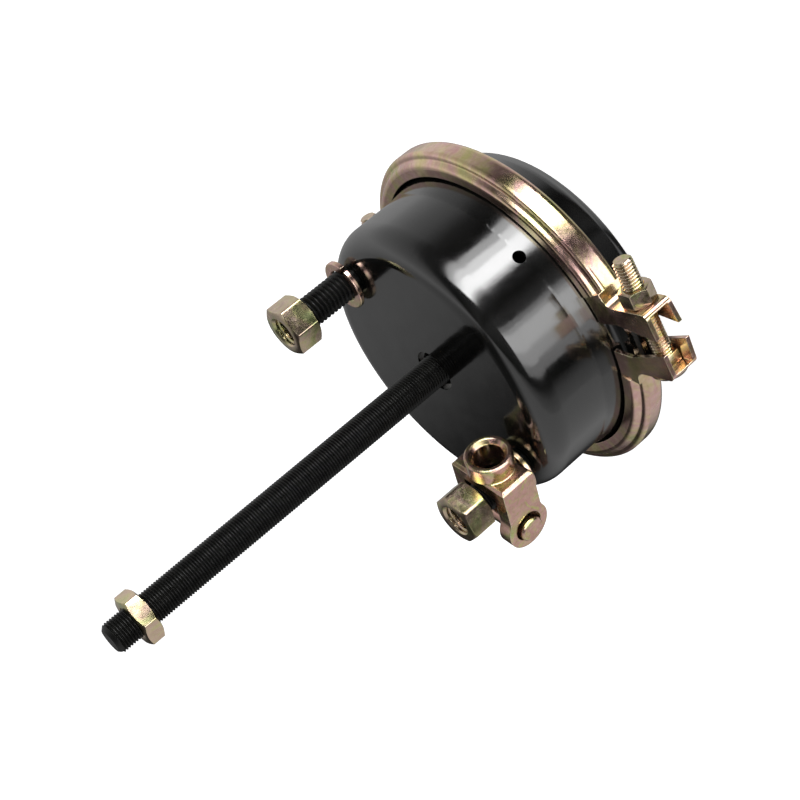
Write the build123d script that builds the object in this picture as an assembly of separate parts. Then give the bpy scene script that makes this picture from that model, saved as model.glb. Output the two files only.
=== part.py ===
from build123d import *
import os
from math import atan2, cos, degrees, radians, sin, sqrt, tan

# Single-diaphragm spring-return air brake chamber. Millimetres. Origin at the centre of the
# mounting face, +Z along the push rod to its tip, +X towards the first mounting stud.

# ---- mounting face and front housing ----
STUD_SPACING = 120.65
HOUSING_DEPTH = 51.5        # mounting face to the front of the flange
HOUSING_SHEET = 2.5
STUD_TO_WALL = 16.075       # stud axis to the outside of the deep-drawn wall
FACE_CORNER_R = 13.0        # outside radius between face and wall
NECK_LENGTH = 14.0          # flared neck in front of the flange
NECK_FLARE = 2.4
NECK_BLEND_R = 10.0
FLANGE_BLEND_R = 3.2
FLANGE_WIDTH = 9.2          # flat of the flange outside the flared neck
ROD_HOLE_R = 11.4
VENT_R = 3.2
VENT_AHEAD = 15.3           # vent holes to the front of the flange
VENT_ANGLES = (-86.8, 93.2)

# ---- back cover and diaphragm ----
COVER_SHEET = 2.5
COVER_DEPTH = 27.7          # rear of the flange to the back face
COVER_NECK_STEP = 2.6       # neck of the cover outside the housing's wall
COVER_TAPER = 9.0           # from the neck to where side and back would meet
COVER_SHOULDER_R = 17.0
COVER_NECK_BLEND_R = 3.0
DIAPHRAGM_SHEET = 2.8
DIAPHRAGM_SIDE_GAP = 0.7
DIAPHRAGM_EDGE_GAP = 0.6

# ---- air ports in the back ----
PORT_THREAD_R = 7.35
PORT_BOSS_R = 12.5
PORT_BOSS_LENGTH = 11.0
PORT_CENTRE_R = 34.0
PORT_ANGLE = 37.0           # first port; the second stands opposite
PORT_CHAMFER = 1.2
PLUG_RECESS = 0.8
PLUG_LENGTH = 8.0
PLUG_SOCKET_AF = 7.9
PLUG_SOCKET_DEPTH = 5.0

# ---- clamp band ----
BAND_SHEET = 2.2
BAND_GRIP_GAP = 0.15        # band legs to the flange faces
BAND_EDGE_GAP = 0.9         # inside of the crown to the flange edge
REAR_LEG_IN = 6.4           # foot of the rear leg, inside the flange edge
REAR_LEG_TAPER = 0.7
FRONT_LEG_IN = 0.2          # groove between the front leg and its bead
FRONT_BEAD_IN = 2.4         # crest of the bead
FRONT_BEAD_H = 3.2
FRONT_LIP_IN = 8.4          # inner edge of the bead's flat front
FRONT_LIP_H = 2.6
BEAD_CREST_BLEND_R = 2.8
BEAD_ROOT_BLEND_R = 1.2
CROWN_FRONT_BLEND_R = 2.4
CROWN_REAR_BLEND_R = 4.2

# ---- clamp lugs, bolts and nuts ----
SPLIT_ANGLE = -126.9        # first split; the second stands opposite
LUG_WEB_S = 18.0            # outer face of a lug plate, from the split plane
LUG_EDGE_ROOT_S = 9.0       # free edges of the lug's side walls, from the split plane
LUG_EDGE_TIP_S = 3.6
LUG_HALF_WIDTH = 8.5
LUG_BLEND_R = 6.0
LUG_CORNER_R = 3.0
LUG_REAR_ROOT_IN = 5.0      # root of the lug's rear wall, inside the flange edge
LUG_TIP_MARGIN = 2.3        # lug beyond the bolt's head
LUG_SECTOR = 16.0           # how far round the band the lug blends in
BOLT_R = 4.76
BOLT_HOLE_GAP = 0.35
BOLT_TIP_S = 40.5
BOLT_HEAD_R = 9.3
BOLT_HEAD_H = 4.8
BOLT_NECK_AF = 9.5
BOLT_NECK_LENGTH = 8.0
BOLT_CHAMFER = 0.9
BOLT_NUT_AF = 14.3
BOLT_NUT_H = 8.3
BOLT_NUT_COUNTERSINK = 0.5

# ---- mounting studs, their washers and nuts ----
THREAD_R = 7.9375           # shared by studs and push rod
THREAD_GAP = 0.06           # running clearance of nuts on it
STUD_TIP_Z = 36.8
STUD_CHAMFER = 1.3
STUD_HOLE_GAP = 0.25
STUD_HEAD_R = 9.4
STUD_HEAD_H = 5.0
NUT_AF = 24.0
NUT_COUNTERSINK = 1.0
NUT_CROWN_START = 0.97      # share of the flat's radius where the corner chamfer starts
NUT_CROWN_ANGLE = 30.0
STUD_NUT_H = 13.9
WASHER_Z = 2.1
WASHER_R = 13.0
WASHER_BORE_GAP = 0.35
WASHER_T = 3.2
WASHER_GAP_ANGLE = 12.0
WASHER_TURNS = (-75.0, 160.0)
NUT_TURNS = (22.5, -127.5)   # a corner of each stud nut
JAM_NUT_TURN = -90.0
STUD_PLATE_T = 2.5
STUD_PLATE_HALF_WIDTH = 23.0
STUD_PLATE_REACH = 9.175    # plate's ends beyond the stud axes
STUD_PLATE_GAP = 0.25       # plate to the inside of the drawn corner
ROD_GUIDE_R = 9.6

# ---- push rod, push plate and return spring ----
ROD_TIP_Z = 199.2
ROD_CHAMFER = 2.0
PLATE_R = 46.0
PLATE_SHEET = 3.0
PLATE_RIM_H = 6.5
PLATE_RIM_BLEND_R = 4.0
PLATE_GAP = 0.3             # push plate to the diaphragm
JAM_NUT_Z = 178.3
JAM_NUT_H = 8.4
SPRING_WIRE_R = 2.25
SPRING_SMALL_R = 20.0
SPRING_LARGE_R = 41.0
SPRING_TURNS = 4.5
SPRING_GAP = 0.3

# ---- clevis and its pin, stored on the second stud ----
CLEVIS_Z = 17.3
CLEVIS_ANGLE = -57.0        # the collar points this way from the stud
CLEVIS_PIN_OFFSET = 14.9    # pin axis behind the stud axis
CLEVIS_SIDE_SHIFT = 1.9     # the wide slot lies off centre on the stud
CLEVIS_SLOT_HALF = 10.2
CLEVIS_HALF_WIDTH = 17.5
CLEVIS_LEG_HALF = 9.7
CLEVIS_EYE_R = 12.0
CLEVIS_EYE_HOLE_R = 7.8
CLEVIS_NUT_GAP = 0.3        # eyes to the stud nut above them
CLEVIS_SLOT_END = 23.6      # from the pin axis
CLEVIS_BLOCK_END = 31.0
CLEVIS_MOUTH = 40.0
CLEVIS_COLLAR_R = 11.5
CLEVIS_BORE_R = 7.25
CLEVIS_MOUTH_CHAMFER = 2.0
CLEVIS_EDGE = 1.4
CLEVIS_NECK_BLEND_R = 8.0
PIN_R = 6.35
PIN_SAG = 1.1               # the loose pin rests against the far side of the eyes
PIN_HEAD_R = 8.6
PIN_HEAD_H = 4.0
PIN_HEAD_GAP = 0.3
PIN_STAND_OUT = 2.6         # plain end beyond the eye
PIN_CHAMFER = 0.8
COTTER_HOLE_R = 1.8
COTTER_HOLE_IN = 5.2        # cotter hole from the plain end
COTTER_HOLE_TILT = 64.0

# ---- radii and levels that follow from the sizes above ----
WALL_R = STUD_SPACING / 2 + STUD_TO_WALL
FLANGE_R = WALL_R + NECK_FLARE + FLANGE_WIDTH
COVER_NECK_R = WALL_R + COVER_NECK_STEP
COVER_BACK_R = COVER_NECK_R - COVER_TAPER
CROWN_R = FLANGE_R + BAND_EDGE_GAP + BAND_SHEET
LUG_FLAT_R = sqrt((CROWN_R + LUG_BLEND_R)**2 - (LUG_WEB_S + LUG_BLEND_R)**2)
BOLT_CENTRE_R = LUG_FLAT_R + BOLT_HEAD_R
LUG_TIP_R = BOLT_CENTRE_R + BOLT_HEAD_R + LUG_TIP_MARGIN
FLANGE_Z = -HOUSING_DEPTH
VENT_Z = FLANGE_Z + VENT_AHEAD
DIAPHRAGM_Z = FLANGE_Z - HOUSING_SHEET
COVER_Z = DIAPHRAGM_Z - DIAPHRAGM_SHEET
STACK_Z = COVER_Z - COVER_SHEET
BACK_Z = STACK_Z - COVER_DEPTH
DISH_Z = BACK_Z + PORT_BOSS_LENGTH + PLATE_GAP      # rear of the resting diaphragm's flat
PLATE_Z = DISH_Z + DIAPHRAGM_SHEET + PLATE_GAP      # rear of the push plate
STUD_PLATE_Z = -HOUSING_SHEET - STUD_PLATE_T
BOLT_Z = (FLANGE_Z + STACK_Z) / 2
STUD_NUT_Z = CLEVIS_Z + CLEVIS_EYE_R + CLEVIS_NUT_GAP
STUDS_X = (STUD_SPACING / 2, -STUD_SPACING / 2)


def sheet_section(points, radii, thickness, side):
    """A sheet's section: the line through the points, rounded, thickened to one side."""
    line = FilletPolyline(*points, radius=radii)
    return make_face(offset(line, amount=thickness, side=side))


def turned(section, angle=360):
    """Revolve an XZ section about Z."""
    return revolve(section, axis=Axis.Z, revolution_arc=angle)


def in_xz(points):
    """Radius and height pairs as points of the XZ plane."""
    return [Vector(r, 0, z) for r, z in points]


def housing_line(inset):
    """Outside of the front housing, or its inside when inset by the sheet."""
    neck_z = FLANGE_Z + NECK_LENGTH
    points = [
        (0, -inset),
        (WALL_R - inset, -inset),
        (WALL_R - inset, neck_z),
        (WALL_R + NECK_FLARE - inset, FLANGE_Z - inset),
        (FLANGE_R, FLANGE_Z - inset),
    ]
    radii = [
        FACE_CORNER_R - inset,
        NECK_BLEND_R + inset,
        FLANGE_BLEND_R + inset,
    ]
    return points, radii


def housing_cavity(inset):
    """The solid that fills the housing down to its flange, inset from the outside."""
    points, radii = housing_line(inset)
    line = FilletPolyline(*in_xz(points), radius=radii)
    end = line @ 1
    foot = Vector(0, 0, end.Z)
    return turned(make_face([*line.edges(), Line(end, foot), Line(foot, line @ 0)]))


def front_housing():
    rim = Pos(0, 0, DIAPHRAGM_Z) * Cylinder(
        FLANGE_R, HOUSING_SHEET, align=(Align.CENTER, Align.CENTER, Align.MIN)
    )
    shell = housing_cavity(0) + rim - housing_cavity(HOUSING_SHEET)
    holes = [Cylinder(ROD_HOLE_R, 4 * HOUSING_SHEET)]
    holes += [Pos(x, 0, 0) * Cylinder(THREAD_R + STUD_HOLE_GAP, 6 * HOUSING_SHEET) for x in STUDS_X]
    for angle in VENT_ANGLES:
        holes.append(
            Rot(0, 0, angle) * Pos(WALL_R, 0, VENT_Z) * Rot(0, 90, 0) * Cylinder(VENT_R, 4 * HOUSING_SHEET)
        )
    for hole in holes:
        shell = shell - hole
    return shell


def port_places():
    """The two port centres on the back."""
    return [
        Rot(0, 0, PORT_ANGLE + turn) * Pos(PORT_CENTRE_R, 0, BACK_Z)
        for turn in (0, 180)
    ]


def back_cover():
    points = in_xz([
        (FLANGE_R, STACK_Z),
        (COVER_NECK_R, STACK_Z),
        (COVER_BACK_R, BACK_Z),
        (0, BACK_Z),
    ])
    radii = [COVER_NECK_BLEND_R, COVER_SHOULDER_R]
    shell = turned(sheet_section(points, radii, COVER_SHEET, Side.LEFT))
    for place in port_places():
        shell = shell - place * Cylinder(PORT_BOSS_R, 4 * COVER_SHEET)
    return shell


def air_port(place):
    """A threaded boss let into the back, flush outside."""
    up = (Align.CENTER, Align.CENTER, Align.MIN)
    boss = Cylinder(PORT_BOSS_R, PORT_BOSS_LENGTH, align=up)
    boss = chamfer(boss.edges().sort_by(Axis.Z)[-1], PORT_CHAMFER)
    bore = Cylinder(PORT_THREAD_R, PORT_BOSS_LENGTH, align=up)
    mouth = Cone(PORT_THREAD_R + PORT_CHAMFER, PORT_THREAD_R, PORT_CHAMFER, align=up)
    return place * (boss - bore - mouth)


def port_plug(place):
    """Socket plug screwed into the second port, just under flush."""
    up = (Align.CENTER, Align.CENTER, Align.MIN)
    body = Pos(0, 0, PLUG_RECESS) * Cylinder(PORT_THREAD_R, PLUG_LENGTH, align=up)
    body = chamfer(body.edges().sort_by(Axis.Z)[-1], PORT_CHAMFER)
    neck = Pos(0, 0, PLUG_RECESS) * (
        Cylinder(PORT_THREAD_R, PORT_CHAMFER, align=up)
        - Cone(PORT_THREAD_R - PORT_CHAMFER / 2, PORT_THREAD_R, PORT_CHAMFER, align=up)
    )
    socket = Pos(0, 0, PLUG_RECESS) * extrude(
        RegularPolygon(PLUG_SOCKET_AF / 2, 6, major_radius=False), amount=PLUG_SOCKET_DEPTH
    )
    return place * (body - neck - socket)


def diaphragm():
    """Moulded rubber cup, clamped at its edge and resting back against the port bosses."""
    side = COVER_NECK_R - COVER_SHEET - DIAPHRAGM_SIDE_GAP
    slope = (COVER_NECK_R - COVER_BACK_R) / COVER_DEPTH
    floor_r = side - slope * (COVER_Z - DISH_Z) - DIAPHRAGM_SIDE_GAP
    points = in_xz([
        (FLANGE_R - DIAPHRAGM_EDGE_GAP, COVER_Z),
        (side, COVER_Z),
        (floor_r, DISH_Z),
        (0, DISH_Z),
    ])
    radii = [COVER_NECK_BLEND_R, COVER_SHOULDER_R - COVER_SHEET]
    return turned(sheet_section(points, radii, DIAPHRAGM_SHEET, Side.LEFT))


def band_levels():
    """Outer faces of the band's front and rear legs, at the crown."""
    grip = BAND_GRIP_GAP + BAND_SHEET
    return FLANGE_Z + grip, STACK_Z - grip


def band_section():
    """The rolled band: flat-fronted bead, front leg, crown and rear leg."""
    front, rear = band_levels()
    points = in_xz([
        (FLANGE_R - FRONT_LIP_IN, front + FRONT_LIP_H),
        (FLANGE_R - FRONT_BEAD_IN, front + FRONT_BEAD_H),
        (FLANGE_R - FRONT_LEG_IN, front),
        (CROWN_R, front),
        (CROWN_R, rear),
        (FLANGE_R - REAR_LEG_IN, rear - REAR_LEG_TAPER),
    ])
    radii = [BEAD_CREST_BLEND_R, BEAD_ROOT_BLEND_R, CROWN_FRONT_BLEND_R, CROWN_REAR_BLEND_R]
    return sheet_section(points, radii, BAND_SHEET, Side.RIGHT)


def lug_outline(hand):
    """The lug's side wall seen along Z with the split plane on X: the band's crown running out
    through a bend into the lug plate. hand is +1 or -1, the side of the split."""
    ear = Pos(LUG_TIP_R / 2, LUG_WEB_S / 2) * Rectangle(LUG_TIP_R, LUG_WEB_S)
    shape = Circle(CROWN_R) + ear
    inner = sqrt(CROWN_R**2 - LUG_WEB_S**2)
    bend = shape.vertices().sort_by_distance(Vector(inner, LUG_WEB_S, 0))[0]
    shape = fillet(bend, LUG_BLEND_R)
    tip = shape.vertices().sort_by_distance(Vector(LUG_TIP_R, LUG_WEB_S, 0))[0]
    shape = fillet(tip, LUG_CORNER_R)
    return shape if hand > 0 else mirror(shape, Plane.XZ)


def lug_sector(hand):
    """The wedge beside the split that the lug fills, up to its sloping free edges."""
    reach = LUG_TIP_R + LUG_CORNER_R
    points = [
        (0, 0),
        (CROWN_R, LUG_EDGE_ROOT_S),
        (reach, LUG_EDGE_TIP_S),
        (reach, reach * tan(radians(LUG_SECTOR))),
    ]
    return make_face(Polyline(*[(x, hand * y) for x, y in points], close=True))


def lug_width(hand, inset):
    """The lug's width seen along it. Its front stays level with the bead and its rear narrows
    to the band's away from the split."""
    front, rear = BOLT_Z + LUG_HALF_WIDTH - inset, BOLT_Z - LUG_HALF_WIDTH + inset
    start = CROWN_R * sin(radians(LUG_SECTOR))
    points = [
        (0, rear),
        (0, front),
        (hand * LUG_TIP_R, front),
        (hand * LUG_TIP_R, band_levels()[1] + inset),
        (hand * start, band_levels()[1] + inset),
    ]
    section = make_face(Polyline(*points, close=True))
    return extrude(Plane.YZ * section, amount=2 * LUG_TIP_R)


def lug_roots():
    """What stays clear inside the lug's walls: its front wall starts at the bead's inner edge
    and its rear wall further out."""
    down = (Align.CENTER, Align.CENTER, Align.MAX)
    front = Cylinder(FLANGE_R - FRONT_LIP_IN, 2 * HOUSING_DEPTH, align=down)
    return front + Pos(0, 0, BOLT_Z) * Cylinder(FLANGE_R - LUG_REAR_ROOT_IN, HOUSING_DEPTH, align=down)


def lug(hand, hole):
    """Channel-shaped lug on one side of a split: plate, two side walls and the bolt hole. The
    channel is open towards the split and at its tip."""
    outline = lug_outline(hand)
    sector = lug_sector(hand)
    depth = LUG_WEB_S - BAND_SHEET
    open_tip = Pos(LUG_TIP_R, hand * depth / 2) * Rectangle(2 * (LUG_TIP_R - BOLT_CENTRE_R), depth)
    inside = (offset(outline, amount=-BAND_SHEET) + open_tip) & sector
    block = extrude(outline & sector, amount=-2 * HOUSING_DEPTH) & lug_width(hand, 0)
    hollow = extrude(inside, amount=-2 * HOUSING_DEPTH) & lug_width(hand, BAND_SHEET)
    cut = extrude(Plane.XZ * hole, amount=4 * BAND_SHEET, both=True)
    return block - hollow - lug_roots() - Pos(BOLT_CENTRE_R, hand * LUG_WEB_S, BOLT_Z) * cut


def clamp_half(start, hole):
    """Half of the band from one split to the other, counter-clockwise from the start angle.
    The nuts' half has round bolt holes and the heads' half square ones."""
    band = Rot(0, 0, start + LUG_SECTOR) * turned(band_section(), 180 - 2 * LUG_SECTOR)
    flanges = Pos(0, 0, STACK_Z - BAND_GRIP_GAP) * Cylinder(
        FLANGE_R + BAND_GRIP_GAP,
        FLANGE_Z - STACK_Z + 2 * BAND_GRIP_GAP,
        align=(Align.CENTER, Align.CENTER, Align.MIN),
    )
    first = Rot(0, 0, start) * (lug(1, hole) - flanges)
    last = Rot(0, 0, start + 180) * (lug(-1, hole) - flanges)
    return band + first + last


def hex_prism(across_flats, height, corner_angle):
    """Hexagon standing on z=0 with one corner at the given angle and chamfered corners."""
    hexagon = RegularPolygon(across_flats / 2, 6, major_radius=False)
    prism = extrude(hexagon, amount=height)
    corner = hexagon.vertices()[0]
    turn = corner_angle - degrees(atan2(corner.Y, corner.X))
    flat = across_flats / 2 * NUT_CROWN_START
    reach = across_flats / sqrt(3)
    drop = (reach - flat) * tan(radians(NUT_CROWN_ANGLE))
    crown = turned(make_face(Polyline(*in_xz([
        (0, 0),
        (flat, 0),
        (reach, drop),
        (reach, height - drop),
        (flat, height),
        (0, height),
    ]), close=True)))
    return Rot(0, 0, turn) * (prism & crown)


def threaded_nut(across_flats, height, bore_r, corner_angle, countersink):
    """Hexagon nut standing on z=0, bored right through with countersunk ends."""
    up = (Align.CENTER, Align.CENTER, Align.MIN)
    nut = hex_prism(across_flats, height, corner_angle)
    nut = nut - Cylinder(bore_r, height, align=up)
    nut = nut - Cone(bore_r + countersink, bore_r, countersink, align=up)
    return nut - Pos(0, 0, height - countersink) * Cone(bore_r, bore_r + countersink, countersink, align=up)


def split_frame(start):
    """Frame of a split: X outwards to the bolt, Z along the bolt towards its nut."""
    side = 1 if start == SPLIT_ANGLE else -1
    return Rot(0, 0, start) * Pos(BOLT_CENTRE_R, 0, BOLT_Z) * Rot(-90 * side, 0, 0)


def clamp_bolt(start):
    """Round-head bolt with a square neck; its nut is on the first half of the band."""
    up = (Align.CENTER, Align.CENTER, Align.MIN)
    head = Sphere((BOLT_HEAD_R**2 + BOLT_HEAD_H**2) / (2 * BOLT_HEAD_H))
    sink = (BOLT_HEAD_R**2 - BOLT_HEAD_H**2) / (2 * BOLT_HEAD_H)
    head = Pos(0, 0, sink) * head & Pos(0, 0, -BOLT_HEAD_H) * Cylinder(
        2 * BOLT_HEAD_R, BOLT_HEAD_H, align=up
    )
    shank = Cylinder(BOLT_R, LUG_WEB_S + BOLT_TIP_S, align=up)
    shank = chamfer(shank.edges().sort_by(Axis.Z)[-1], BOLT_CHAMFER)
    neck = extrude(Rectangle(BOLT_NECK_AF, BOLT_NECK_AF), amount=BOLT_NECK_LENGTH)
    return split_frame(start) * Pos(0, 0, -LUG_WEB_S) * (head + shank + neck)


def clamp_nut(start):
    nut = threaded_nut(BOLT_NUT_AF, BOLT_NUT_H, BOLT_R + THREAD_GAP, 90, BOLT_NUT_COUNTERSINK)
    return split_frame(start) * Pos(0, 0, LUG_WEB_S) * nut


def stud_plate():
    """Pressed plate under the studs that also guides the rod; its ends follow the drawn corner."""
    up = (Align.CENTER, Align.CENTER, Align.MIN)
    ends = STUD_SPACING / 2 + STUD_PLATE_REACH - STUD_PLATE_HALF_WIDTH
    outline = SlotCenterToCenter(2 * ends, 2 * STUD_PLATE_HALF_WIDTH)
    plate = Pos(0, 0, STUD_PLATE_Z) * extrude(outline, amount=STUD_PLATE_T)
    plate = plate & (housing_cavity(HOUSING_SHEET + STUD_PLATE_GAP) + Pos(0, 0, STUD_PLATE_Z) * Cylinder(
        WALL_R - FACE_CORNER_R - STUD_PLATE_GAP, STUD_PLATE_T, align=up
    ))
    plate = plate - Cylinder(ROD_GUIDE_R, 4 * HOUSING_DEPTH)
    for x in STUDS_X:
        plate = plate - Pos(x, 0, 0) * Cylinder(THREAD_R + STUD_HOLE_GAP, 4 * HOUSING_DEPTH)
    return plate


def mounting_stud(x):
    up = (Align.CENTER, Align.CENTER, Align.MIN)
    head_z = STUD_PLATE_Z - STUD_HEAD_H
    shank = Pos(0, 0, head_z) * Cylinder(THREAD_R, STUD_TIP_Z - head_z, align=up)
    shank = chamfer(shank.edges().sort_by(Axis.Z)[-1], STUD_CHAMFER)
    head = Pos(0, 0, head_z) * Cylinder(STUD_HEAD_R, STUD_HEAD_H, align=up)
    return Pos(x, 0, 0) * (shank + head)


def lock_washer(x, turn):
    """Split spring washer with its gap at the given angle."""
    bore = THREAD_R + WASHER_BORE_GAP
    section = Pos((bore + WASHER_R) / 2, 0, WASHER_Z + WASHER_T / 2) * Rot(90, 0, 0) * Rectangle(
        WASHER_R - bore, WASHER_T
    )
    ring = turned(section, 360 - WASHER_GAP_ANGLE)
    return Pos(x, 0, 0) * Rot(0, 0, turn + WASHER_GAP_ANGLE / 2) * ring


def stud_nut(x, corner_angle):
    nut = threaded_nut(NUT_AF, STUD_NUT_H, THREAD_R + THREAD_GAP, corner_angle, NUT_COUNTERSINK)
    return Pos(x, 0, STUD_NUT_Z) * nut


def push_rod():
    foot = PLATE_Z + PLATE_SHEET
    rod = Pos(0, 0, foot) * Cylinder(
        THREAD_R, ROD_TIP_Z - foot, align=(Align.CENTER, Align.CENTER, Align.MIN)
    )
    return chamfer(rod.edges().sort_by(Axis.Z)[-1], ROD_CHAMFER)


def push_plate():
    points = in_xz([
        (PLATE_R, PLATE_Z + PLATE_RIM_H),
        (PLATE_R, PLATE_Z),
        (0, PLATE_Z),
    ])
    return turned(sheet_section(points, [PLATE_RIM_BLEND_R], PLATE_SHEET, Side.RIGHT))


def rod_jam_nut():
    nut = threaded_nut(NUT_AF, JAM_NUT_H, THREAD_R + THREAD_GAP, JAM_NUT_TURN, NUT_COUNTERSINK)
    return Pos(0, 0, JAM_NUT_Z) * nut


def return_spring():
    """Conical wire spring from the stud plate down to the push plate."""
    top = STUD_PLATE_Z - SPRING_GAP - SPRING_WIRE_R
    bottom = PLATE_Z + PLATE_SHEET + SPRING_GAP + SPRING_WIRE_R
    height = top - bottom
    cone = degrees(atan2(SPRING_LARGE_R - SPRING_SMALL_R, height))
    coil = Helix(height / SPRING_TURNS, height, SPRING_SMALL_R, cone_angle=cone)
    section = Plane(coil @ 0, z_dir=coil % 0) * RegularPolygon(SPRING_WIRE_R, 8)
    return Pos(0, 0, bottom) * sweep(section, path=coil)


def clevis_frame():
    """X from the eyes' axis to the collar's mouth, Y along the eyes to the pin's head."""
    back = Rot(0, 0, CLEVIS_ANGLE) * Pos(-CLEVIS_PIN_OFFSET, -CLEVIS_SIDE_SHIFT, 0)
    return Pos(STUDS_X[1], 0, CLEVIS_Z) * back


def clevis():
    """Forged fork: threaded collar, square block, two legs that widen into round eyes."""
    stem = Pos(CLEVIS_BLOCK_END / 2, 0) * Rectangle(CLEVIS_BLOCK_END, 2 * CLEVIS_LEG_HALF)
    profile = stem + Circle(CLEVIS_EYE_R)
    meet = sqrt(CLEVIS_EYE_R**2 - CLEVIS_LEG_HALF**2)
    necks = [
        profile.vertices().sort_by_distance(Vector(meet, side * CLEVIS_LEG_HALF, 0))[0]
        for side in (1, -1)
    ]
    profile = fillet(necks, CLEVIS_NECK_BLEND_R)
    fork = extrude(Plane.XZ * profile, amount=CLEVIS_HALF_WIDTH, both=True)
    fork = chamfer(
        fork.faces().sort_by(Axis.X)[-1].edges(), CLEVIS_EDGE
    )
    collar = Pos(CLEVIS_BLOCK_END, 0, 0) * Rot(0, 90, 0) * Cylinder(
        CLEVIS_COLLAR_R,
        CLEVIS_MOUTH - CLEVIS_BLOCK_END,
        align=(Align.CENTER, Align.CENTER, Align.MIN),
    )
    collar = chamfer(collar.edges().sort_by(Axis.X)[-1], CLEVIS_EDGE / 2)
    body = fork + collar
    reach = CLEVIS_SLOT_END + CLEVIS_EYE_R
    body = body - Pos(CLEVIS_SLOT_END - reach / 2, 0, 0) * Box(reach, 2 * CLEVIS_SLOT_HALF, 4 * CLEVIS_EYE_R)
    body = body - Pos(CLEVIS_MOUTH / 2, 0, 0) * Rot(0, 90, 0) * Cylinder(CLEVIS_BORE_R, CLEVIS_MOUTH)
    mouth = Pos(CLEVIS_MOUTH - CLEVIS_MOUTH_CHAMFER, 0, 0) * Rot(0, 90, 0) * Cone(
        CLEVIS_BORE_R,
        CLEVIS_BORE_R + CLEVIS_MOUTH_CHAMFER,
        CLEVIS_MOUTH_CHAMFER,
        align=(Align.CENTER, Align.CENTER, Align.MIN),
    )
    eyes = Rot(90, 0, 0) * Cylinder(CLEVIS_EYE_HOLE_R, 4 * CLEVIS_HALF_WIDTH)
    return clevis_frame() * (body - mouth - eyes)


def clevis_pin():
    """Headed pin lying loose in the eyes, with a cotter hole near its plain end."""
    up = (Align.CENTER, Align.CENTER, Align.MIN)
    seat = CLEVIS_HALF_WIDTH + PIN_HEAD_GAP
    length = seat + CLEVIS_HALF_WIDTH + PIN_STAND_OUT
    shank = Cylinder(PIN_R, length, align=up)
    shank = chamfer(shank.edges().sort_by(Axis.Z)[-1], PIN_CHAMFER)
    head = Pos(0, 0, -PIN_HEAD_H) * Cylinder(PIN_HEAD_R, PIN_HEAD_H, align=up)
    head = fillet(head.edges().sort_by(Axis.Z)[0], PIN_CHAMFER)
    hole = Pos(0, 0, length - COTTER_HOLE_IN) * Rot(0, 0, COTTER_HOLE_TILT) * Rot(90, 0, 0) * Cylinder(
        COTTER_HOLE_R, 4 * PIN_R
    )
    return clevis_frame() * Pos(-PIN_SAG, seat, 0) * Rot(90, 0, 0) * (head + shank - hole)


def build():
    ports = port_places()
    round_hole = Circle(BOLT_R + BOLT_HOLE_GAP)
    square_hole = Rectangle(BOLT_NECK_AF + BOLT_HOLE_GAP, BOLT_NECK_AF + BOLT_HOLE_GAP)
    parts = {
        "front_housing": front_housing(),
        "back_cover": back_cover(),
        "diaphragm": diaphragm(),
        "clamp_band_upper": clamp_half(SPLIT_ANGLE, round_hole),
        "clamp_band_lower": clamp_half(SPLIT_ANGLE + 180, square_hole),
        "stud_plate": stud_plate(),
        "return_spring": return_spring(),
        "push_rod": push_rod(),
        "push_plate": push_plate(),
        "rod_jam_nut": rod_jam_nut(),
        "port_plug": port_plug(ports[1]),
        "clevis": clevis(),
        "clevis_pin": clevis_pin(),
    }
    for i, place in enumerate(ports, 1):
        parts[f"air_port_{i}"] = air_port(place)
    for i, start in enumerate((SPLIT_ANGLE, SPLIT_ANGLE + 180), 1):
        parts[f"clamp_bolt_{i}"] = clamp_bolt(start)
        parts[f"clamp_nut_{i}"] = clamp_nut(start)
    for i, x in enumerate(STUDS_X, 1):
        parts[f"mounting_stud_{i}"] = mounting_stud(x)
        parts[f"lock_washer_{i}"] = lock_washer(x, WASHER_TURNS[i - 1])
        parts[f"stud_nut_{i}"] = stud_nut(x, NUT_TURNS[i - 1])
    return parts


os.makedirs("parts", exist_ok=True)
for name, shape in build().items():
    export_step(shape, f"parts/{name}.step")
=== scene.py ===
import math

import bmesh
import bpy
from mathutils import Matrix, Vector


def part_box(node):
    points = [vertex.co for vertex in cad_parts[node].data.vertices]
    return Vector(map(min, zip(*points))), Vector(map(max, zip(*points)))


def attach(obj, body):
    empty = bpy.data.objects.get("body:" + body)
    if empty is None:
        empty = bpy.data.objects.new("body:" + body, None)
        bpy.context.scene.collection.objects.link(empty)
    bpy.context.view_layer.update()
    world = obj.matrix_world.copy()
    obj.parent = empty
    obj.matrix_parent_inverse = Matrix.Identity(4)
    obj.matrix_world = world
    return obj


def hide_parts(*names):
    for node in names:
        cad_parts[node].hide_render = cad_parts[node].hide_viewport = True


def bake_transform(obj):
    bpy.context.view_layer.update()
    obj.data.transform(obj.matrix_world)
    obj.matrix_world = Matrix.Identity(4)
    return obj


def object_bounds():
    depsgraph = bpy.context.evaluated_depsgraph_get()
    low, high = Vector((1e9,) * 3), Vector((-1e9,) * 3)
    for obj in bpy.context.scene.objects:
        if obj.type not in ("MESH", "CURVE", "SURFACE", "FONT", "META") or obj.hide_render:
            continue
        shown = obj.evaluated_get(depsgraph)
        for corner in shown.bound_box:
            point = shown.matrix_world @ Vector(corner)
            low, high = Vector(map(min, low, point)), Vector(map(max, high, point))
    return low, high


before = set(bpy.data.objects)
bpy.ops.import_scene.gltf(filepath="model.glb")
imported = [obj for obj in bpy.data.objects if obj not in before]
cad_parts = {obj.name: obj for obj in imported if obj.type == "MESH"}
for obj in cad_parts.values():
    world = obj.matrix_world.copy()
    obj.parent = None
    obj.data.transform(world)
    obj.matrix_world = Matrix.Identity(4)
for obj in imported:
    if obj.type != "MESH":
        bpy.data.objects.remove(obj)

cad_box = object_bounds()

MM = 0.001
TURN = 2 * math.pi

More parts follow.
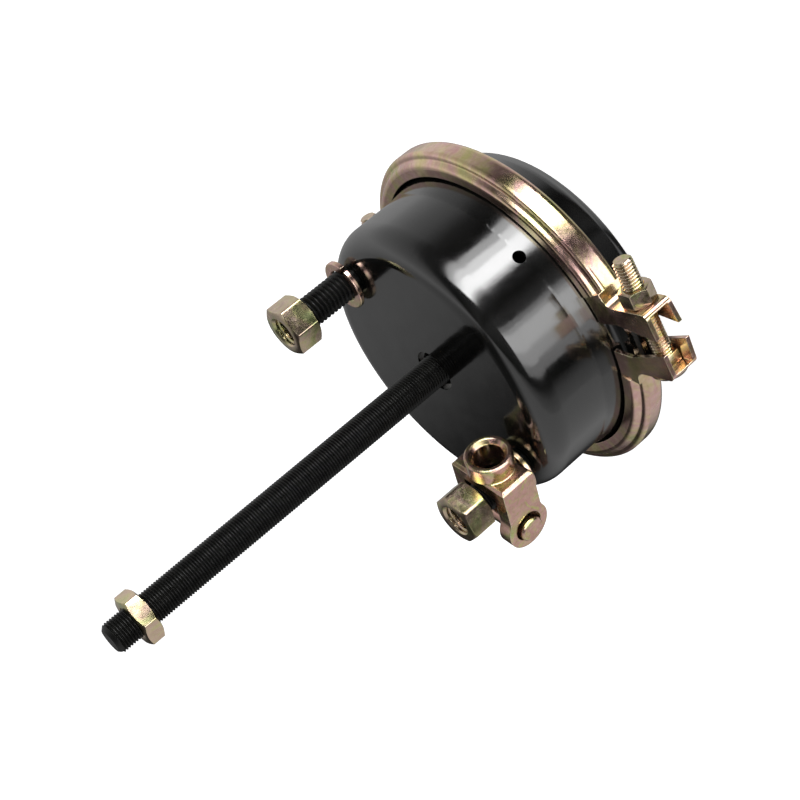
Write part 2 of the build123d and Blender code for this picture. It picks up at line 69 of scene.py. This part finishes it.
# thread sizes: outside radius and pitch, in millimetres; depth and crest are shares of the pitch
STUD_THREAD = (7.9375, 25.4 / 11)
ROD_THREAD = (7.9375, 25.4 / 18)
BOLT_THREAD = (4.76, 25.4 / 16)
THREAD_DEPTH = 0.6
CREST_START, CREST_END = 0.44, 0.56

STUDS_X = (60.325, -60.325)
STUD_HEAD_R = 9.4
STUD_HEAD_H = 5
STUD_SHANK_R = 7.9
STUD_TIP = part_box("mounting_stud_1")[1].z / MM
ROD_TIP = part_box("push_rod")[1].z / MM
ROD_THREAD_START = -3.0
ROD_TIP_CHAMFER = 2.0

# hexagon nuts: the flat end is CROWN_SHARE of the width, and the bore has play over its thread
NUT_WIDTH = 24.0
STUD_NUT_H = 13.9
STUD_NUT_TURNS = (22.5, -127.5)
JAM_NUT_TURN = -90
JAM_NUT_H = 8.4
CROWN_SHARE = 0.97
CROWN_MARGIN = 0.4
CROWN_ANGLE = math.radians(30)
THREAD_PLAY = 0.06
MOUTH_MARGIN = 0.35
MOUTH_SINK = 0.7

# split lock washers, with their gaps in degrees
WASHER_INNER_R = 7.9375 + 0.35
WASHER_OUTER_R = 13.0
WASHER_EDGE_R = 0.45
WASHER_RISE = 0.5
WASHER_GAP_ANGLE = 12
WASHER_TURNS = (-75.0, 160.0)

# clamp band: the angles of its splits, and the bolts that cross them, measured from under the head
SPLITS = (-126.9, 53.1)
BOLT_CENTRE_R = 103.387
BOLT_Z = -55.4
LUG_FACE = 18.0
BOLT_LENGTH = 58.5
BOLT_THREAD_START = 6
BOLT_NECK = 9.5
BOLT_NECK_LENGTH = 8.2
BOLT_NECK_MIDDLE = 3.9
BOLT_NUT_WIDTH = 14.3
BOLT_NUT_H = 8.3
BOLT_NUT_TURN = 90

# plating colours, each with its place in the noise that spreads it; the olive set is partly an olive plating
# tint and partly painted shade
GOLD = [(0.32, (0.50, 0.55, 0.26)), (0.41, (0.74, 0.64, 0.34)), (0.49, (0.80, 0.60, 0.44)),
        (0.56, (0.76, 0.49, 0.46)), (0.64, (0.78, 0.62, 0.40)), (0.73, (0.56, 0.60, 0.30))]
ROSY = [(0.34, (0.62, 0.62, 0.30)), (0.43, (0.74, 0.58, 0.36)), (0.51, (0.74, 0.48, 0.41)),
        (0.60, (0.70, 0.43, 0.38)), (0.69, (0.68, 0.60, 0.30))]
# olive tints of the plating, kept darker than GOLD as painted shade for the darker reflections on the nuts
# and bolts
OLIVE_AND_SHADE = [(0.34, (0.40, 0.44, 0.22)), (0.44, (0.58, 0.54, 0.30)), (0.52, (0.64, 0.52, 0.38)),
         (0.62, (0.56, 0.44, 0.36)), (0.72, (0.50, 0.54, 0.27))]
FILM = [(0.35, (0.86, 0.95, 0.68)), (0.5, (1, 1, 1)), (0.65, (1.0, 0.87, 0.89))]
STREAKS = [(0.3, (0.78, 0.75, 0.68)), (0.7, (1, 1, 1))]
PALE_ZINC = (0.62, 0.60, 0.36)
RUBBED_ZINC = (0.82, 0.84, 0.58)

# studio: how bright its walls look at each angle round Z, and the strip lamps
WALLS = [(-180, 0.5), (-168, 0.35), (-158, 0.02), (-100, 0.16), (-92, 0.02), (-82, 0.12), (-40, 0.02),
         (-26, 0.10), (-13, 0.4), (30, 0.8), (60, 0.4), (78, 0.32), (81, 0.26), (85, 0.03), (106, 0.04),
         (135, 0.6), (180, 0.6)]
LAMP_HEIGHT = 2.2
LAMP_DISTANCE = 1.3
FLOOR_SIZE = 14
FLOOR_GAP = 0.0002
FLOOR_GLOW = 0.78


# ---------------------------------------------------------------- mesh helpers

def finish_mesh(name, bm, body, replaces, smooth=35, bends=None):
    """Turn a finished bmesh, in millimetres, into a piece that rides on a body.

    With bends, nothing is bent and it rides on no body; only its place is baked into its mesh.
    """
    bmesh.ops.scale(bm, vec=(MM, MM, MM), verts=bm.verts)
    bmesh.ops.remove_doubles(bm, verts=bm.verts, dist=1e-6)
    bmesh.ops.recalc_face_normals(bm, faces=bm.faces)
    mesh = bpy.data.meshes.new(name)
    bm.to_mesh(mesh)
    bm.free()
    mesh.polygons.foreach_set("use_smooth", [True] * len(mesh.polygons))
    mesh.set_sharp_from_angle(angle=math.radians(smooth))
    piece = bpy.data.objects.new(name, mesh)
    bpy.context.collection.objects.link(piece)
    if bends:
        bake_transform(piece)
    else:
        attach(piece, body)
    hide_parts(*replaces)
    return piece


def add_bm(target, source, place=Matrix.Identity(4)):
    """Add one bmesh to another at a place."""
    source.transform(place)
    mesh = bpy.data.meshes.new("part")
    source.to_mesh(mesh)
    source.free()
    target.from_mesh(mesh)
    bpy.data.meshes.remove(mesh)


def spun(profile, steps=96, angle=TURN, rise=0.0, closed=False):
    """Spin a profile of radius and height pairs about Z. rise lifts it along the way."""
    bm = bmesh.new()
    verts = [bm.verts.new((r, 0, z)) for r, z in profile]
    edges = [bm.edges.new(pair) for pair in zip(verts, verts[1:])]
    if closed:
        edges.append(bm.edges.new((verts[-1], verts[0])))
    full = abs(angle - TURN) < 1e-6 and rise == 0
    start = verts + edges
    if closed and not full:
        start.append(bm.faces.new(verts))
    bmesh.ops.spin(bm, geom=start, cent=(0, 0, 0), axis=(0, 0, 1), angle=angle, steps=steps,
                   dvec=(0, 0, rise / steps), use_merge=full, use_duplicate=False)
    bmesh.ops.remove_doubles(bm, verts=bm.verts, dist=1e-5)
    return bm


def cap_open_ends(bm):
    """Close the flat open ends of a mesh."""
    rim = [e for e in bm.edges if len(e.link_faces) == 1]
    bmesh.ops.holes_fill(bm, edges=rim, sides=0)


def threaded(thread, low, high, chamfer=0.0, steps=36, growth=0.0):
    """A closed length of right-hand screw thread about Z, with a chamfered top."""
    major, pitch = thread
    major += growth
    root = major - THREAD_DEPTH * pitch
    turns = math.ceil((high - low) / pitch) + 2
    base = low - pitch
    profile = [(root, base), (major, base + CREST_START * pitch), (major, base + CREST_END * pitch),
               (root, base + pitch)]
    bm = spun(profile, steps=steps * turns, angle=TURN * turns, rise=pitch * turns)
    for level, up in ((high, 1), (low, -1)):
        bmesh.ops.bisect_plane(bm, geom=bm.verts[:] + bm.edges[:] + bm.faces[:], dist=1e-6,
                               plane_co=(0, 0, level), plane_no=(0, 0, up), clear_outer=True)
    cap_open_ends(bm)
    if chamfer:
        for v in bm.verts:
            limit = major - (v.co.z - (high - chamfer))
            radius = v.co.xy.length
            if radius > limit > 0:
                v.co.xy = v.co.xy * (limit / radius)
    return bm


def hexagon(width, height, turn):
    """Hexagon bar standing on z=0 with its first corner at turn degrees."""
    bm = bmesh.new()
    bmesh.ops.create_circle(bm, cap_ends=True, segments=6, radius=width / math.sqrt(3),
                            matrix=Matrix.Rotation(math.radians(turn), 4, "Z"))
    face = bmesh.ops.extrude_face_region(bm, geom=bm.faces[:])
    lifted = [v for v in face["geom"] if isinstance(v, bmesh.types.BMVert)]
    bmesh.ops.translate(bm, verts=lifted, vec=(0, 0, height))
    bmesh.ops.recalc_face_normals(bm, faces=bm.faces)
    upright = [e for e in bm.edges if abs(e.verts[0].co.z - e.verts[1].co.z) > height / 2]
    bmesh.ops.bevel(bm, geom=upright, offset=0.5, segments=3, profile=0.5, affect="EDGES", material=-1)
    return bm


def boolean(bm, tool, operation):
    """Cut or keep one closed bmesh with another and return the result."""
    objects = []
    for part in (bm, tool):
        bmesh.ops.recalc_face_normals(part, faces=part.faces)
        mesh = bpy.data.meshes.new("cut")
        part.to_mesh(mesh)
        part.free()
        objects.append(bpy.data.objects.new("cut", mesh))
        bpy.context.collection.objects.link(objects[-1])
    modifier = objects[0].modifiers.new("cut", "BOOLEAN")
    modifier.operation = operation
    modifier.solver = "EXACT"
    modifier.object = objects[1]
    bpy.context.view_layer.update()
    graph = bpy.context.evaluated_depsgraph_get()
    result = bmesh.new()
    result.from_mesh(objects[0].evaluated_get(graph).to_mesh())
    for o in objects:
        mesh = o.data
        bpy.data.objects.remove(o)
        bpy.data.meshes.remove(mesh)
    return result


def nut(thread, width, height, turn, place):
    """Hexagon nut with chamfered corners, countersunk ends and a threaded bore."""
    flat = width / 2
    corner = width / math.sqrt(3)
    rim = flat * CROWN_SHARE
    drop = (corner - rim) * math.tan(CROWN_ANGLE)
    wide = corner + CROWN_MARGIN
    crown = spun([(0, 0), (rim, 0), (corner, drop), (wide, drop + CROWN_MARGIN),
                  (wide, height - drop - CROWN_MARGIN), (corner, height - drop), (rim, height), (0, height)],
                 steps=120)
    body = boolean(hexagon(width, height, turn), crown, "INTERSECT")
    major, pitch = thread
    tap = threaded(thread, -1.0, height + 1.0, growth=THREAD_PLAY, steps=44)
    body = boolean(body, tap, "DIFFERENCE")
    sink = pitch * MOUTH_SINK
    lip = major + MOUTH_MARGIN
    for level, face in ((0, 1), (height, -1)):
        mouth = spun([(0, level - face), (lip + 1.0, level - face), (lip, level),
                      (lip - sink, level + face * sink), (0, level + face * sink)])
        body = boolean(body, mouth, "DIFFERENCE")
    body.transform(place)
    return body


def copy_of(node):
    """A CAD node's own mesh, merged, in millimetres."""
    bm = bmesh.new()
    bm.from_mesh(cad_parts[node].data)
    bmesh.ops.remove_doubles(bm, verts=bm.verts, dist=1e-6)
    bmesh.ops.scale(bm, vec=(1 / MM, 1 / MM, 1 / MM), verts=bm.verts)
    return bm


def at(x, y, z):
    """Matrix that shifts by x, y and z."""
    return Matrix.Translation((x, y, z))


# ---------------------------------------------------------------- pieces

def push_rod():
    """Rod with a plain shank inside the chamber and a thread outside it."""
    radius = ROD_THREAD[0]
    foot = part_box("push_rod")[0].z / MM
    bm = spun([(0, foot), (radius, foot), (radius, ROD_THREAD_START - 1),
               (radius - 0.8, ROD_THREAD_START), (0, ROD_THREAD_START)], steps=72)
    add_bm(bm, threaded(ROD_THREAD, ROD_THREAD_START - 0.5, ROD_TIP, chamfer=ROD_TIP_CHAMFER, steps=32))
    return finish_mesh("threaded_push_rod", bm, "rod", ["push_rod"])


def mounting_stud(i):
    """Stud threaded outside the face, with a round head inside it."""
    x = STUDS_X[i - 1]
    node = f"mounting_stud_{i}"
    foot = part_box(node)[0].z / MM
    bm = spun([(0, foot), (STUD_HEAD_R - 0.8, foot), (STUD_HEAD_R, foot + 0.8),
               (STUD_HEAD_R, foot + STUD_HEAD_H), (STUD_SHANK_R, foot + STUD_HEAD_H),
               (STUD_SHANK_R, 1.0), (7.0, 2.0), (0, 2.0)], steps=72)
    add_bm(bm, threaded(STUD_THREAD, 1.5, STUD_TIP, chamfer=1.3, steps=48))
    bm.transform(at(x, 0, 0))
    return finish_mesh(f"threaded_stud_{i}", bm, "chamber", [node])


def lock_washer(i):
    """Split spring washer, its ends slightly out of line."""
    x = STUDS_X[i - 1]
    node = f"lock_washer_{i}"
    low, high = (c.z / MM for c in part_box(node))
    inner, outer, soft = WASHER_INNER_R, WASHER_OUTER_R, WASHER_EDGE_R
    high -= WASHER_RISE
    ring = [(inner + soft, low), (outer - soft, low), (outer, low + soft), (outer, high - soft),
            (outer - soft, high), (inner + soft, high), (inner, high - soft), (inner, low + soft)]
    bm = spun(ring, steps=110, angle=math.radians(360 - WASHER_GAP_ANGLE), rise=WASHER_RISE, closed=True)
    turn = WASHER_TURNS[i - 1] + WASHER_GAP_ANGLE / 2
    bm.transform(at(x, 0, 0) @ Matrix.Rotation(math.radians(turn), 4, "Z"))
    return finish_mesh(f"spring_washer_{i}", bm, f"washer_{i}", [node])


def stud_nut(i):
    """Hexagon nut near the tip of a stud."""
    x = STUDS_X[i - 1]
    place = at(x, 0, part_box(f"stud_nut_{i}")[0].z / MM)
    bm = nut(STUD_THREAD, NUT_WIDTH, STUD_NUT_H, STUD_NUT_TURNS[i - 1], place)
    return finish_mesh(f"mounting_nut_{i}", bm, f"nut_{i}", [f"stud_nut_{i}"])


def jam_nut():
    """Thin nut near the rod's tip."""
    bm = nut(ROD_THREAD, NUT_WIDTH, JAM_NUT_H, JAM_NUT_TURN, at(0, 0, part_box("rod_jam_nut")[0].z / MM))
    return finish_mesh("jam_nut_on_rod", bm, "jam_nut", ["rod_jam_nut"])


def split_place(i):
    """Frame of a clamp bolt: Z along it towards its nut, X outwards."""
    side = 1 if i == 1 else -1
    return (Matrix.Rotation(math.radians(SPLITS[i - 1]), 4, "Z") @ at(BOLT_CENTRE_R, 0, BOLT_Z)
            @ Matrix.Rotation(math.radians(-90 * side), 4, "X"))


def clamp_bolt(i):
    """Round-head bolt with a square neck and a threaded shank."""
    head = [(0, -4.8), (2.6, -4.6), (5.0, -3.9), (7.2, -2.6), (8.7, -1.0), (9.15, -0.35), (9.0, 0),
            (0, 0)]
    bm = spun(head, steps=72)
    neck = bmesh.new()
    bmesh.ops.create_cube(neck, size=1)
    bmesh.ops.scale(neck, vec=(BOLT_NECK, BOLT_NECK, BOLT_NECK_LENGTH), verts=neck.verts)
    bmesh.ops.translate(neck, vec=(0, 0, BOLT_NECK_MIDDLE), verts=neck.verts)
    bmesh.ops.bevel(neck, geom=neck.edges[:], offset=0.6, segments=2, profile=0.5, affect="EDGES",
                    material=-1)
    add_bm(bm, neck)
    add_bm(bm, threaded(BOLT_THREAD, BOLT_THREAD_START, BOLT_LENGTH, chamfer=0.9, steps=32))
    bm.transform(split_place(i) @ at(0, 0, -LUG_FACE))
    return finish_mesh(f"carriage_bolt_{i}", bm, "chamber", [f"clamp_bolt_{i}"])


def clamp_nut(i):
    """Nut on a clamp bolt, against its lug."""
    bm = nut(BOLT_THREAD, BOLT_NUT_WIDTH, BOLT_NUT_H, BOLT_NUT_TURN, split_place(i) @ at(0, 0, LUG_FACE))
    return finish_mesh(f"band_nut_{i}", bm, "chamber", [f"clamp_nut_{i}"])


def rolling_diaphragm():
    """The rubber cup, a copy of its CAD part; points for a bend from the push plate are given, but no bend
    is made.
    """
    rim, floor_z = (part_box("diaphragm")[k].z for k in (1, 0))
    return finish_mesh("rolling_diaphragm", copy_of("diaphragm"), "chamber", ["diaphragm"],
                       bends=("rod", (0, 0, rim - 3 * MM), (0, 0, floor_z + 3.5 * MM)))


def coil_spring():
    """The conical spring, a copy of its CAD part; points for a bend from the push plate are given, but no
    bend is made.
    """
    low, high = (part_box("return_spring")[k].z for k in (0, 1))
    return finish_mesh("coil_spring", copy_of("return_spring"), "chamber", ["return_spring"],
                       smooth=60, bends=("rod", (0, 0, high), (0, 0, low)))


# ---------------------------------------------------------------- materials

class Shader:
    """Small helper to lay out a material's nodes."""

    def __init__(self, name):
        self.material = bpy.data.materials.new(name)
        self.material.use_nodes = True
        self.nodes = self.material.node_tree.nodes
        self.links = self.material.node_tree.links
        self.surface = self.nodes["Principled BSDF"]
        self.place = self.nodes.new("ShaderNodeTexCoord").outputs["Object"]

    def set(self, **values):
        for key, value in values.items():
            self.surface.inputs[key.replace("_", " ")].default_value = value

    def mapped(self, scale):
        node = self.nodes.new("ShaderNodeMapping")
        node.inputs["Scale"].default_value = scale
        self.links.new(self.place, node.inputs["Vector"])
        return node.outputs["Vector"]

    def noise(self, scale, detail=3.0, rough=0.55, stretch=(1, 1, 1), warp=0.0):
        node = self.nodes.new("ShaderNodeTexNoise")
        node.inputs["Scale"].default_value = scale
        node.inputs["Detail"].default_value = detail
        node.inputs["Roughness"].default_value = rough
        node.inputs["Distortion"].default_value = warp
        self.links.new(self.mapped(stretch), node.inputs["Vector"])
        return node.outputs["Fac"]

    def ramp(self, value, stops):
        node = self.nodes.new("ShaderNodeValToRGB")
        elements = node.color_ramp.elements
        while len(elements) < len(stops):
            elements.new(0.5)
        for element, (place, colour) in zip(elements, stops):
            element.position = place
            element.color = (*colour, 1)
        self.links.new(value, node.inputs["Fac"])
        return node.outputs["Color"]

    def spread(self, value, low, high, out_low, out_high):
        node = self.nodes.new("ShaderNodeMapRange")
        ends = (low, high, out_low, out_high)
        for key, number in zip(("From Min", "From Max", "To Min", "To Max"), ends):
            node.inputs[key].default_value = number
        self.links.new(value, node.inputs["Value"])
        return node.outputs["Result"]

    def mix(self, factor, first, second, mode="MIX"):
        node = self.nodes.new("ShaderNodeMix")
        node.data_type = "RGBA"
        node.blend_type = mode
        for key, value in (("Factor", factor), ("A", first), ("B", second)):
            single = key == "Factor"
            socket = next(s for s in node.inputs
                          if s.name == key and (s.type == "VALUE") == single and s.enabled)
            if isinstance(value, bpy.types.NodeSocket):
                self.links.new(value, socket)
            elif single:
                socket.default_value = value
            else:
                socket.default_value = (*value, 1)
        return next(s for s in node.outputs if s.type == "RGBA")

    def bump(self, height, strength, distance, below=None):
        node = self.nodes.new("ShaderNodeBump")
        node.inputs["Strength"].default_value = strength
        node.inputs["Distance"].default_value = distance
        self.links.new(height, node.inputs["Height"])
        if below is not None:
            self.links.new(below, node.inputs["Normal"])
        return node.outputs["Normal"]

    def round_edge(self, radius):
        """A small radius on outside and inside corners, in metres."""
        node = self.nodes.new("ShaderNodeBevel")
        node.samples = 6
        node.inputs["Radius"].default_value = radius
        return node.outputs["Normal"]

    def worn_edge(self, radius):
        """One along the corners, in patches, where plating and paint rub through."""
        geometry = self.nodes.new("ShaderNodeNewGeometry")
        facing = self.nodes.new("ShaderNodeVectorMath")
        facing.operation = "DOT_PRODUCT"
        self.links.new(self.round_edge(radius), facing.inputs[0])
        self.links.new(geometry.outputs["Normal"], facing.inputs[1])
        corner = self.spread(facing.outputs["Value"], 0.82, 0.985, 1, 0)
        worn = self.nodes.new("ShaderNodeMath")
        worn.operation = "MULTIPLY"
        self.links.new(corner, worn.inputs[0])
        self.links.new(self.spread(self.noise(350, 3), 0.35, 0.6, 0.25, 0.9), worn.inputs[1])
        return worn.outputs[0]

    def use(self, colour, roughness, normal):
        for key, value in (("Base Color", colour), ("Roughness", roughness), ("Normal", normal)):
            self.links.new(value, self.surface.inputs[key])
        return self.material


def gloss_black_paint(name):
    """Thick gloss enamel over drawn steel, with faint draw lines, runs and dust."""
    s = Shader(name)
    s.set(Metallic=0.0, IOR=1.8)
    tone = s.ramp(s.noise(45, 4), [(0.3, (0.0010, 0.0010, 0.0010)), (0.7, (0.0030, 0.0030, 0.0027))])
    dust = s.spread(s.noise(900, 2), 0.64, 0.76, 0, 0.5)
    colour = s.mix(dust, tone, (0.010, 0.010, 0.009))
    colour = s.mix(s.worn_edge(0.0006), colour, (0.012, 0.012, 0.011))
    rough = s.spread(s.noise(60, 5, 0.6), 0.3, 0.75, 0.08, 0.18)
    drawn = s.bump(s.noise(1, 3, stretch=(14, 14, 520)), 0.06, 0.0004)
    peel = s.bump(s.noise(300, 2), 0.03, 0.0004, drawn)
    waves = s.bump(s.noise(26, 2), 0.16, 0.0012, peel)
    return s.use(colour, rough, waves)


def yellow_zinc(name, patch, hues, edge, pale=0.0):
    """Yellow-chromate zinc plate: gold running to pink and green, with dull streaks."""
    s = Shader(name)
    s.set(Metallic=1.0)
    hue = s.ramp(s.noise(patch, 4, 0.55, warp=0.8), hues)
    film = s.ramp(s.noise(patch * 5, 3, 0.6), FILM)
    fine = s.ramp(s.noise(240, 4, 0.6), STREAKS)
    colour = s.mix(0.8, s.mix(0.6, hue, film, "MULTIPLY"), fine, "MULTIPLY")
    colour = s.mix(pale, colour, PALE_ZINC)
    colour = s.mix(s.worn_edge(edge), colour, RUBBED_ZINC)
    rough = s.spread(s.noise(120, 4, 0.6), 0.3, 0.7, 0.15, 0.28)
    grain = s.bump(s.noise(700, 3), 0.06, 0.0003, s.round_edge(edge))
    dents = s.bump(s.noise(60, 2), 0.10, 0.0008, grain)
    return s.use(colour, rough, dents)


def black_oxide(name):
    """Dull black on threaded steel."""
    s = Shader(name)
    s.set(Metallic=0.0, IOR=1.3)
    tone = s.ramp(s.noise(160, 4), [(0.3, (0.0015, 0.0015, 0.0015)), (0.7, (0.0045, 0.0045, 0.004))])
    colour = s.mix(s.worn_edge(0.0003), tone, (0.03, 0.03, 0.028))
    rough = s.spread(s.noise(300, 3), 0.3, 0.7, 0.26, 0.40)
    return s.use(colour, rough, s.bump(s.noise(900, 2), 0.1, 0.0002))


def bright_steel(name):
    """Bare drawn steel."""
    s = Shader(name)
    s.set(Metallic=1.0)
    tone = s.ramp(s.noise(90, 4), [(0.3, (0.30, 0.30, 0.29)), (0.7, (0.48, 0.47, 0.45))])
    rough = s.spread(s.noise(260, 3), 0.3, 0.7, 0.28, 0.42)
    return s.use(tone, rough, s.bump(s.noise(1, 3, stretch=(40, 40, 900)), 0.1, 0.0003))


def moulded_rubber(name):
    """Matt black rubber."""
    s = Shader(name)
    tone = s.ramp(s.noise(120, 3), [(0.3, (0.016, 0.016, 0.016)), (0.7, (0.030, 0.030, 0.029))])
    rough = s.spread(s.noise(200, 3), 0.3, 0.7, 0.55, 0.7)
    return s.use(tone, rough, s.bump(s.noise(700, 3), 0.25, 0.0004))


def paint(objects, material):
    """Give objects a material of their own, without changing their meshes."""
    for o in objects:
        if not o.data.materials:
            o.data.materials.append(material)
        for slot in o.material_slots:
            slot.link = "OBJECT"
            slot.material = material


# ---------------------------------------------------------------- build

rod = push_rod()
studs = [mounting_stud(i) for i in (1, 2)]
washers = [lock_washer(i) for i in (1, 2)]
nuts = [stud_nut(i) for i in (1, 2)]
jam = jam_nut()
bolts = [clamp_bolt(i) for i in (1, 2)]
bolt_nuts = [clamp_nut(i) for i in (1, 2)]
spring = coil_spring()
cup = rolling_diaphragm()

black = gloss_black_paint("gloss_black_paint")
zinc = yellow_zinc("yellow_zinc", 34, GOLD, 0.0005)
zinc_pale = yellow_zinc("pale_yellow_zinc", 70, GOLD, 0.0001, pale=0.35)
zinc_rosy = yellow_zinc("rosy_yellow_zinc", 95, ROSY, 0.0009)
# darker olive zinc: an olive plating tint with painted shade for darker reflections
zinc_olive_and_shade = yellow_zinc("olive_yellow_zinc_and_painted_shade", 85, OLIVE_AND_SHADE, 0.0001)
oxide = black_oxide("black_oxide")
steel = bright_steel("bright_steel")
rubber = moulded_rubber("moulded_rubber")

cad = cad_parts
paint([cad[n] for n in ("front_housing", "back_cover", "air_port_1", "air_port_2")], black)
paint([cad[n] for n in ("clamp_band_upper", "clamp_band_lower")], zinc)
paint([cad[n] for n in ("clevis", "clevis_pin")], zinc_rosy)
paint([cad[n] for n in ("stud_plate", "push_plate")], steel)
paint([cad["port_plug"], rod, *studs], oxide)
paint(washers, zinc)
# nuts and bolts take the darker olive zinc, whose darkness is partly painted shade
paint([*nuts, *bolts, *bolt_nuts], zinc_olive_and_shade)
paint([jam], zinc_pale)
paint([spring], steel)
paint([cup], rubber)


# ---------------------------------------------------------------- floor, lamps and camera

def floor():
    """Pale floor that keeps the shadow, lifted to near white for the camera."""
    bm = bmesh.new()
    bmesh.ops.create_grid(bm, x_segments=1, y_segments=1, size=FLOOR_SIZE)
    bmesh.ops.translate(bm, vec=(0, 0, cad_box[0][2] - FLOOR_GAP), verts=bm.verts)
    mesh = bpy.data.meshes.new("floor")
    bm.to_mesh(mesh)
    bm.free()
    o = bpy.data.objects.new("floor", mesh)
    bpy.context.collection.objects.link(o)
    o.visible_glossy = False
    material = bpy.data.materials.new("pale_floor")
    material.use_nodes = True
    nodes, links = material.node_tree.nodes, material.node_tree.links
    surface = nodes["Principled BSDF"]
    surface.inputs["Base Color"].default_value = (0.8, 0.8, 0.8, 1)
    surface.inputs["Roughness"].default_value = 0.9
    path = nodes.new("ShaderNodeLightPath")
    surface.inputs["Emission Color"].default_value = (1, 1, 1, 1)
    gain = nodes.new("ShaderNodeMath")
    gain.operation = "MULTIPLY"
    gain.inputs[1].default_value = FLOOR_GLOW
    links.new(path.outputs["Is Camera Ray"], gain.inputs[0])
    links.new(gain.outputs[0], surface.inputs["Emission Strength"])
    o.data.materials.append(material)


def studio_world():
    """White for the camera; grey walls with dark gaps beside the lamps for polished surfaces."""
    world = bpy.context.scene.world or bpy.data.worlds.new("studio")
    bpy.context.scene.world = world
    world.use_nodes = True
    nodes, links = world.node_tree.nodes, world.node_tree.links
    nodes.clear()
    out = nodes.new("ShaderNodeOutputWorld")
    path = nodes.new("ShaderNodeLightPath")
    aim = nodes.new("ShaderNodeTexCoord")
    split = nodes.new("ShaderNodeSeparateXYZ")
    links.new(aim.outputs["Generated"], split.inputs[0])
    turn = nodes.new("ShaderNodeMath")
    turn.operation = "ARCTAN2"
    links.new(split.outputs["Y"], turn.inputs[0])
    links.new(split.outputs["X"], turn.inputs[1])
    share = nodes.new("ShaderNodeMapRange")
    ends = (-math.pi, math.pi, 0, 1)
    for key, number in zip(("From Min", "From Max", "To Min", "To Max"), ends):
        share.inputs[key].default_value = number
    links.new(turn.outputs[0], share.inputs["Value"])
    walls = nodes.new("ShaderNodeValToRGB")
    elements = walls.color_ramp.elements
    while len(elements) < len(WALLS):
        elements.new(0.5)
    for element, (angle, level) in zip(elements, WALLS):
        element.position = (angle + 180) / 360
        element.color = (level, level, level, 1)
    links.new(share.outputs["Result"], walls.inputs["Fac"])
    soft = nodes.new("ShaderNodeBackground")
    soft.inputs["Color"].default_value = (0.98, 0.99, 1, 1)
    soft.inputs["Strength"].default_value = 0.45
    shown = nodes.new("ShaderNodeBackground")
    links.new(walls.outputs["Color"], shown.inputs["Color"])
    white = nodes.new("ShaderNodeBackground")
    white.inputs["Strength"].default_value = 1.0
    glossy = nodes.new("ShaderNodeMath")
    glossy.operation = "MAXIMUM"
    links.new(path.outputs["Is Glossy Ray"], glossy.inputs[0])
    links.new(path.outputs["Is Transmission Ray"], glossy.inputs[1])
    first = nodes.new("ShaderNodeMixShader")
    links.new(glossy.outputs[0], first.inputs["Fac"])
    links.new(soft.outputs[0], first.inputs[1])
    links.new(shown.outputs[0], first.inputs[2])
    second = nodes.new("ShaderNodeMixShader")
    links.new(path.outputs["Is Camera Ray"], second.inputs["Fac"])
    links.new(first.outputs[0], second.inputs[1])
    links.new(white.outputs[0], second.inputs[2])
    links.new(second.outputs[0], out.inputs["Surface"])


def strip_lamp(name, azimuth, width, level, lean):
    """Upright softbox facing the chamber, brightest inside; level is how bright it looks.

    Lean shifts the bright middle, in degrees, so that one side fades more slowly.
    """
    for i, part in enumerate((1.0, 0.66, 0.34)):
        lamp = bpy.data.lights.new(f"{name}_{i + 1}", "AREA")
        lamp.shape = "RECTANGLE"
        lamp.size = width * part
        lamp.size_y = LAMP_HEIGHT
        lamp.energy = level / 3 * math.pi * width * part * LAMP_HEIGHT
        o = bpy.data.objects.new(lamp.name, lamp)
        bpy.context.collection.objects.link(o)
        a = math.radians(azimuth + lean * i)
        o.location = (LAMP_DISTANCE * math.cos(a), LAMP_DISTANCE * math.sin(a), 0)
        o.rotation_euler = (-o.location).to_track_quat("-Z", "Y").to_euler()
        o.visible_camera = False


def camera():
    """Looks from the side and a little from the rod's tip, rolled so that the rod points down left."""
    data = bpy.data.cameras.new("camera")
    data.lens = 77.463
    data.sensor_width = 36
    data.clip_start = 0.01
    right = Vector((-0.6710872, -0.1743808, -0.7205784))
    down = Vector((-0.7297243, 0.3270239, 0.6004647))
    ahead = right.cross(down)
    o = bpy.data.objects.new("camera", data)
    bpy.context.collection.objects.link(o)
    basis = Matrix((right, -down, -ahead)).transposed().to_4x4()
    o.matrix_world = at(-0.10687, -0.75748, 0.30573) @ basis
    bpy.context.scene.camera = o


floor()
studio_world()
strip_lamp("strip_right", -64, 0.70, 11.5, -2.4)
strip_lamp("strip_left", -126, 1.0, 3.8, 3.4)
camera()
bpy.context.scene.view_settings.view_transform = "Standard"
